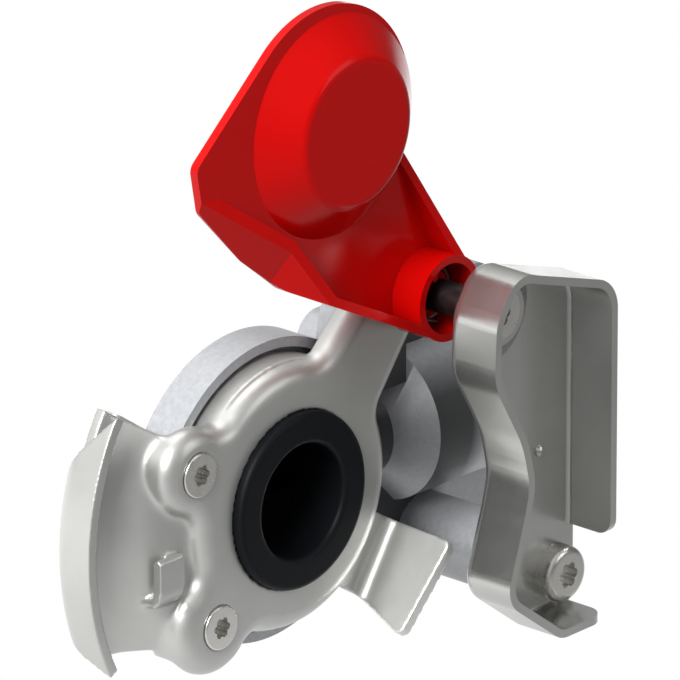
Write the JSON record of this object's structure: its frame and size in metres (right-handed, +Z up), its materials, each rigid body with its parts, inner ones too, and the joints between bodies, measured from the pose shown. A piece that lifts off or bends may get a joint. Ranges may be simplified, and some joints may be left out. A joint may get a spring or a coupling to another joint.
{
  "type": "gladhand air brake coupler",
  "caption": "Palm coupling head for a trailer brake air line: sheet steel claw plate with rubber face seal on a die-cast body, guide bracket and a red swing cover on a pivot pin.",
  "frame": {"origin": "on the seal axis, in the plane of the claw plate's flat front face", "axes": "-Y out of the seal face towards the mating head, +X along the hose port's axis out of its mouth, +Z up towards the open cover"},
  "size_m": [0.132, 0.0696, 0.1408],
  "materials": {
    "cast_aluminium": "die-cast, fine grain",
    "plate_steel": "zinc plated, satin",
    "seal_rubber": "moulded, matt",
    "screw_steel": "zinc plated",
    "bracket_steel": "zinc plated, satin",
    "sleeve_steel": "phosphated, dark",
    "spring_steel": "drawn wire",
    "cover_plastic": "moulded, glossy"
  },
  "bodies": {
    "coupler": {"coupling_body": "cast_aluminium", "claw_plate": "plate_steel", "seal_ring": "seal_rubber", "plate_screw_upper": "screw_steel", "plate_screw_lower": "screw_steel", "guide_bracket": "bracket_steel", "bracket_screw": "screw_steel", "pivot_screw": "screw_steel", "pivot_sleeve": "sleeve_steel"},
    "swing_cover": {"cover": "cover_plastic", "torsion_spring": "spring_steel"}
  },
  "joints": [
    {"name": "cover_swing", "type": "hinge", "parent": "coupler", "child": "swing_cover", "pos_m": [0.0332, -0.0075, 0.0378], "axis": [0, -1, 0], "range_deg": [0, 106.2]}
  ]
}
